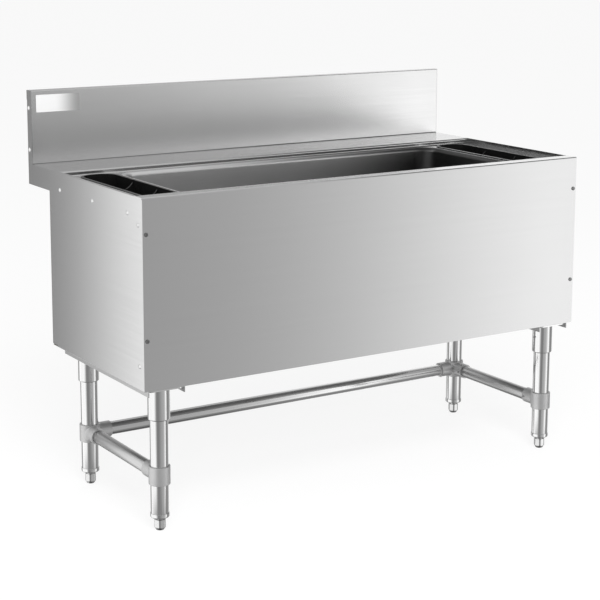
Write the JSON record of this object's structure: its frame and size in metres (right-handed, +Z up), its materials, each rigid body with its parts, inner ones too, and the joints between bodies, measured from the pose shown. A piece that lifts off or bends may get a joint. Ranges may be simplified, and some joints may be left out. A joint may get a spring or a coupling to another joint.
{
  "type": "underbar ice bin",
  "caption": "Stainless steel underbar ice bin with a backsplash, a coved ice cavity, lift-out black bottle wells at the ends, a bottom drain and levelling feet on braced round legs.",
  "frame": {"origin": "on the floor under the middle of the bin's box", "axes": "+X along the bin to the right, +Y from the front to the back, +Z up"},
  "size_m": [1.224, 0.6118, 0.9398],
  "materials": {
    "brushed_sheet": "number four brushed stainless sheet",
    "plain_sheet": "mill finish sheet",
    "deck_sheet": "brushed stainless sheet",
    "liner_sheet": "satin stainless sheet",
    "foam": "rigid foam",
    "label": "satin silver plate",
    "well_plastic": "black moulded plastic",
    "polished_tube": "polished stainless tube",
    "cast_collar": "bead blasted casting",
    "foot_metal": "polished steel",
    "screw": "polished steel",
    "drain_metal": "plated",
    "gasket_rubber": "black rubber",
    "drain_brass": "cast brass"
  },
  "bodies": {
    "chest": {"front_panel": "brushed_sheet", "left_side_panel": "brushed_sheet", "right_side_panel": "brushed_sheet", "backsplash": "brushed_sheet", "rear_panel": "plain_sheet", "bottom_pan": "plain_sheet", "left_corner_bracket": "plain_sheet", "right_corner_bracket": "plain_sheet", "left_deck_angle": "plain_sheet", "right_deck_angle": "plain_sheet", "left_leg_channel": "plain_sheet", "right_leg_channel": "plain_sheet", "deck_shelf": "deck_sheet", "deck_front_strip": "deck_sheet", "left_deck_end": "deck_sheet", "right_deck_end": "deck_sheet", "ice_bin_liner": "liner_sheet", "foam_jacket": "foam", "label_plate": "label", "left_front_leg_socket": "polished_tube", "left_front_leg": "polished_tube", "left_front_leg_collar": "cast_collar", "left_front_leg_insert": "polished_tube", "left_rear_leg_socket": "polished_tube", "left_rear_leg": "polished_tube", "left_rear_leg_collar": "cast_collar", "left_rear_leg_insert": "polished_tube", "left_side_rail": "polished_tube", "left_side_screws": "screw", "right_front_leg_socket": "polished_tube", "right_front_leg": "polished_tube", "right_front_leg_collar": "cast_collar", "right_front_leg_insert": "polished_tube", "right_rear_leg_socket": "polished_tube", "right_rear_leg": "polished_tube", "right_rear_leg_collar": "cast_collar", "right_rear_leg_insert": "polished_tube", "right_side_rail": "polished_tube", "right_side_screws": "screw", "rear_rail": "polished_tube", "drain_flange": "drain_metal", "drain_nipple": "drain_metal", "drain_gasket": "gasket_rubber", "drain_locknut": "drain_brass", "front_panel_screws": "screw", "socket_set_screws": "screw", "collar_set_screws": "screw"},
    "left_well": {"left_bottle_well": "well_plastic"},
    "right_well": {"right_bottle_well": "well_plastic"},
    "strainer": {"drain_strainer": "drain_metal"},
    "left_front_divider": {"left_front_divider": "well_plastic"},
    "left_front_foot": {"left_front_foot": "foot_metal"},
    "left_rear_divider": {"left_rear_divider": "well_plastic"},
    "left_rear_foot": {"left_rear_foot": "foot_metal"},
    "right_front_divider": {"right_front_divider": "well_plastic"},
    "right_front_foot": {"right_front_foot": "foot_metal"},
    "right_rear_divider": {"right_rear_divider": "well_plastic"},
    "right_rear_foot": {"right_rear_foot": "foot_metal"}
  },
  "joints": [
    {"name": "left_well_lift", "type": "slide", "parent": "chest", "child": "left_well", "axis": [0, 0, 1], "range_m": [0, 0.26]},
    {"name": "left_front_divider_lift", "type": "slide", "parent": "left_well", "child": "left_front_divider", "axis": [0, 0, 1], "range_m": [0, 0.25]},
    {"name": "left_front_foot_screw", "type": "slide", "parent": "chest", "child": "left_front_foot", "axis": [0, 0, -1], "range_m": [0, 0.025]},
    {"name": "left_rear_divider_lift", "type": "slide", "parent": "left_well", "child": "left_rear_divider", "axis": [0, 0, 1], "range_m": [0, 0.25]},
    {"name": "left_rear_foot_screw", "type": "slide", "parent": "chest", "child": "left_rear_foot", "axis": [0, 0, -1], "range_m": [0, 0.025]},
    {"name": "right_well_lift", "type": "slide", "parent": "chest", "child": "right_well", "axis": [0, 0, 1], "range_m": [0, 0.26]},
    {"name": "right_front_divider_lift", "type": "slide", "parent": "right_well", "child": "right_front_divider", "axis": [0, 0, 1], "range_m": [0, 0.25]},
    {"name": "right_front_foot_screw", "type": "slide", "parent": "chest", "child": "right_front_foot", "axis": [0, 0, -1], "range_m": [0, 0.025]},
    {"name": "right_rear_divider_lift", "type": "slide", "parent": "right_well", "child": "right_rear_divider", "axis": [0, 0, 1], "range_m": [0, 0.25]},
    {"name": "right_rear_foot_screw", "type": "slide", "parent": "chest", "child": "right_rear_foot", "axis": [0, 0, -1], "range_m": [0, 0.025]},
    {"name": "strainer_lift", "type": "slide", "parent": "chest", "child": "strainer", "axis": [0, 0, 1], "range_m": [0, 0.3]}
  ]
}
